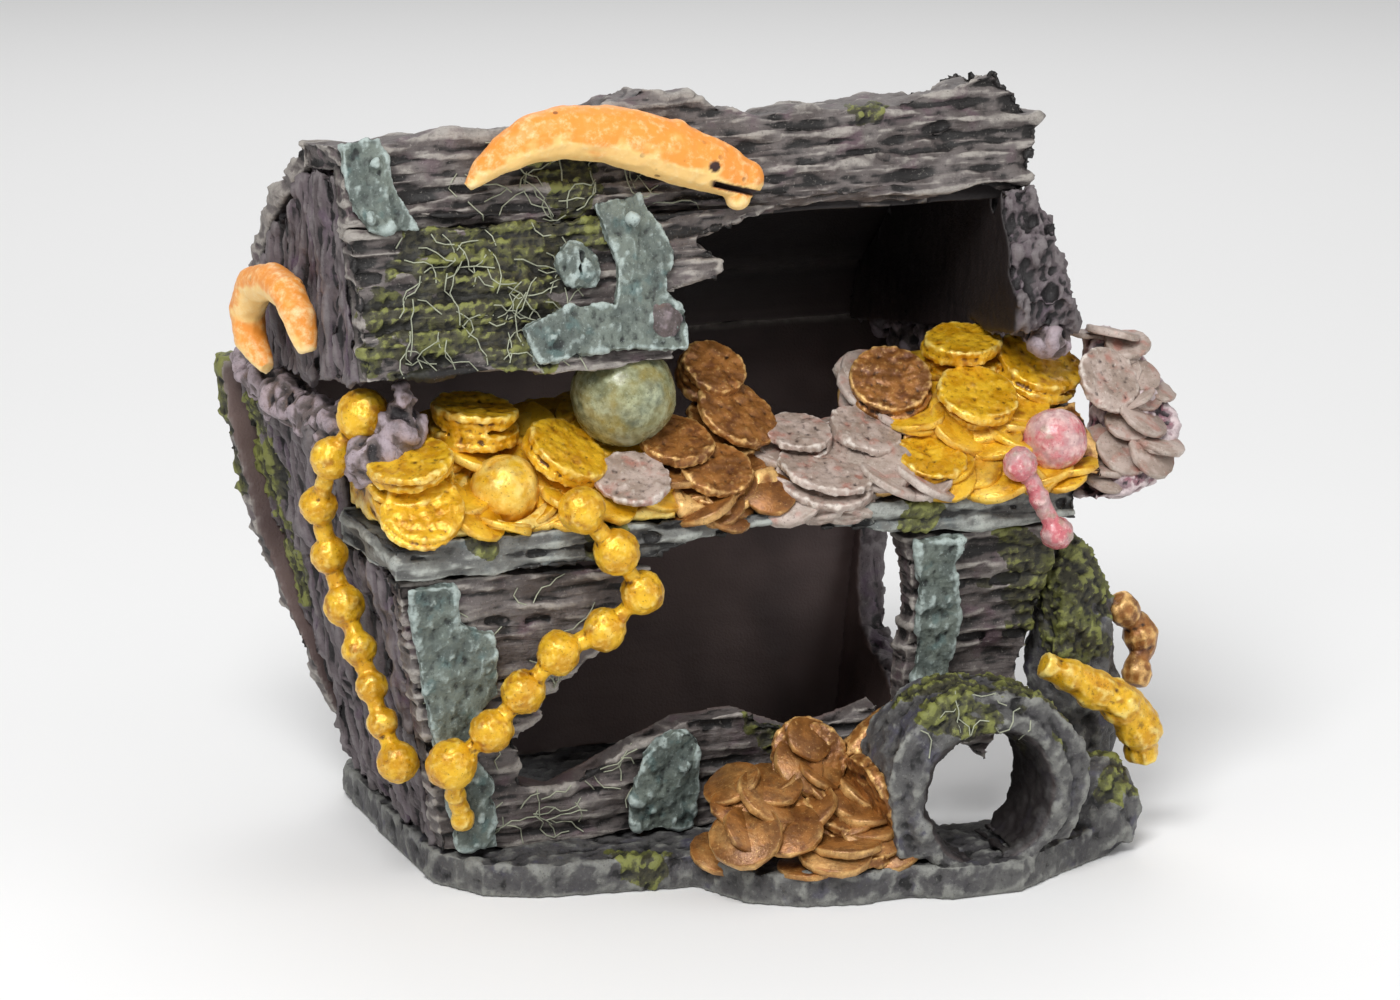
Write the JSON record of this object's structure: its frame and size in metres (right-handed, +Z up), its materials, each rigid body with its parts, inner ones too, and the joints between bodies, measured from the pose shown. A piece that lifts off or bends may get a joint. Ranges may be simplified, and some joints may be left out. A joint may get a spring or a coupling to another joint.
{
  "type": "bubbling aquarium ornament",
  "caption": "Broken treasure chest for an aquarium: a hollow cast shell with a half-open lid, coins, bead strings, an eel, a round tunnel and an air stone inside.",
  "frame": {"origin": "on the floor under the middle of the chest, in the plane of the base slab's underside", "axes": "+X along the chest's width to the tunnel's side, -Y towards its front, +Z up"},
  "size_m": [0.1702, 0.1191, 0.1438],
  "materials": {
    "weathered_wood": "cast resin painted as old boards",
    "corroded_iron": "cast resin painted as corroded metal",
    "sea_rock": "rough cast resin",
    "gold_paint": "satin gold paint on cast resin",
    "copper_paint": "satin copper paint on cast resin",
    "pale_coin_paint": "matt paint on cast resin",
    "green_pearl_paint": "gloss paint on cast resin",
    "pink_pearl_paint": "gloss paint on cast resin",
    "amethyst_paint": "satin paint on cast resin",
    "eel_paint": "satin paint on cast resin",
    "air_fitting_plastic": "translucent moulded plastic",
    "grommet_rubber": "matt",
    "air_stone_grit": "bonded grit, open pores"
  },
  "bodies": {
    "chest": {"air_pipe": "air_fitting_plastic", "back_wall": "weathered_wood", "base_slab": "sea_rock", "bead_string_front": "gold_paint", "bead_string_side": "gold_paint", "coin_bronze_tilted": "copper_paint", "coin_brown_left": "copper_paint", "coin_brown_low": "copper_paint", "coin_brown_middle": "copper_paint", "coin_brown_top": "copper_paint", "coin_gold_back": "gold_paint", "coin_gold_low": "gold_paint", "coin_gold_middle": "gold_paint", "coin_gold_right": "gold_paint", "coin_left_back": "gold_paint", "coin_left_front": "gold_paint", "coin_left_middle": "gold_paint", "coin_left_tilted": "gold_paint", "coin_pale_centre": "pale_coin_paint", "coin_pale_front": "pale_coin_paint", "coin_pale_left": "pale_coin_paint", "coin_pale_right": "pale_coin_paint", "coin_pale_ring": "pale_coin_paint", "copper_coin_edge": "copper_paint", "copper_coin_front": "copper_paint", "copper_coin_left": "copper_paint", "copper_coin_middle": "copper_paint", "copper_horn": "copper_paint", "corner_strap": "corroded_iron", "dark_beads": "copper_paint", "eel_head": "eel_paint", "eel_tail": "eel_paint", "flank_rock": "sea_rock", "front_strap_centre": "corroded_iron", "front_strap_right": "corroded_iron", "front_wall_left": "weathered_wood", "front_wall_right": "weathered_wood", "gem_cluster": "amethyst_paint", "gold_nuggets": "gold_paint", "hoard_left": "sea_rock", "hoard_right": "sea_rock", "inlet_grommet": "grommet_rubber", "left_end_wall": "weathered_wood", "lid_back_panel": "weathered_wood", "lid_corner_strap": "corroded_iron", "lid_front_panel": "weathered_wood", "lid_hasp": "corroded_iron", "lid_left_end": "weathered_wood", "lid_right_end": "weathered_wood", "lid_stud": "corroded_iron", "lid_top_beam": "weathered_wood", "medal_copper": "copper_paint", "pearl_gold": "gold_paint", "pearl_green": "green_pearl_paint", "pearl_pink": "pink_pearl_paint", "pink_bead_drop": "pink_pearl_paint", "right_end_wall": "weathered_wood", "treasure_ledge": "weathered_wood", "tunnel_arch": "sea_rock"},
    "air_stone_body": {"air_stone": "air_stone_grit"}
  },
  "joints": [
    {"name": "air_stone_pull", "type": "slide", "parent": "chest", "child": "air_stone_body", "axis": [0, 0, 1], "range_m": [0, 0.014]}
  ]
}
